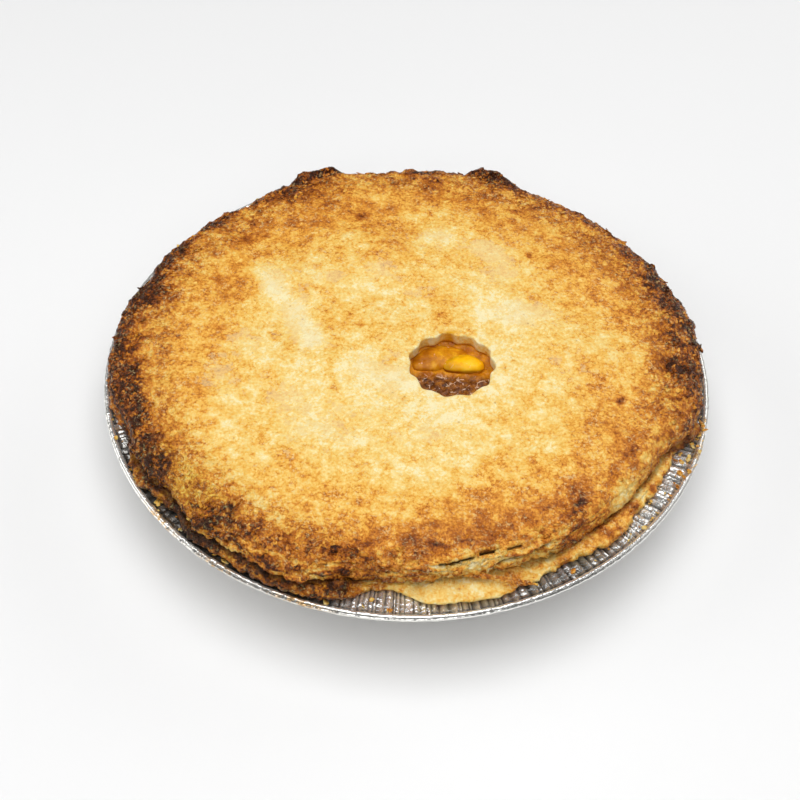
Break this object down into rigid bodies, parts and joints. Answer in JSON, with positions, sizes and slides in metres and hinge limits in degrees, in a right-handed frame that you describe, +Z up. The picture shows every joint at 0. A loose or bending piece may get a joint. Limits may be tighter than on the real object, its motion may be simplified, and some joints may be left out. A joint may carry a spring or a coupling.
{
  "type": "peach pie",
  "caption": "Whole double-crust peach pie with a browned, crumbly edge and a round fluted vent in the lid that shows peach filling, in its pleated foil pan.",
  "frame": {"origin": "on the pan's axis, at the level of the surface that the pan stands on", "axes": "+Z up along the pan's axis, -Y towards the pie's front, where the lip is set back from the rim, +X to the right"},
  "size_m": [0.2318, 0.2318, 0.0475],
  "materials": {
    "foil_pan": "bright crinkled aluminium foil",
    "crust": "baked pastry, cream to golden in the middle and dark brown at the edge",
    "filling": "wet amber-brown syrup",
    "peach_slice_front": "wet yellow-orange peach flesh",
    "peach_slice_back": "wet orange peach flesh under syrup"
  },
  "bodies": {
    "root": {"foil_pan": "foil_pan", "crust": "crust", "filling": "filling", "peach_slice_front": "peach_slice_front", "peach_slice_back": "peach_slice_back"}
  },
  "joints": []
}
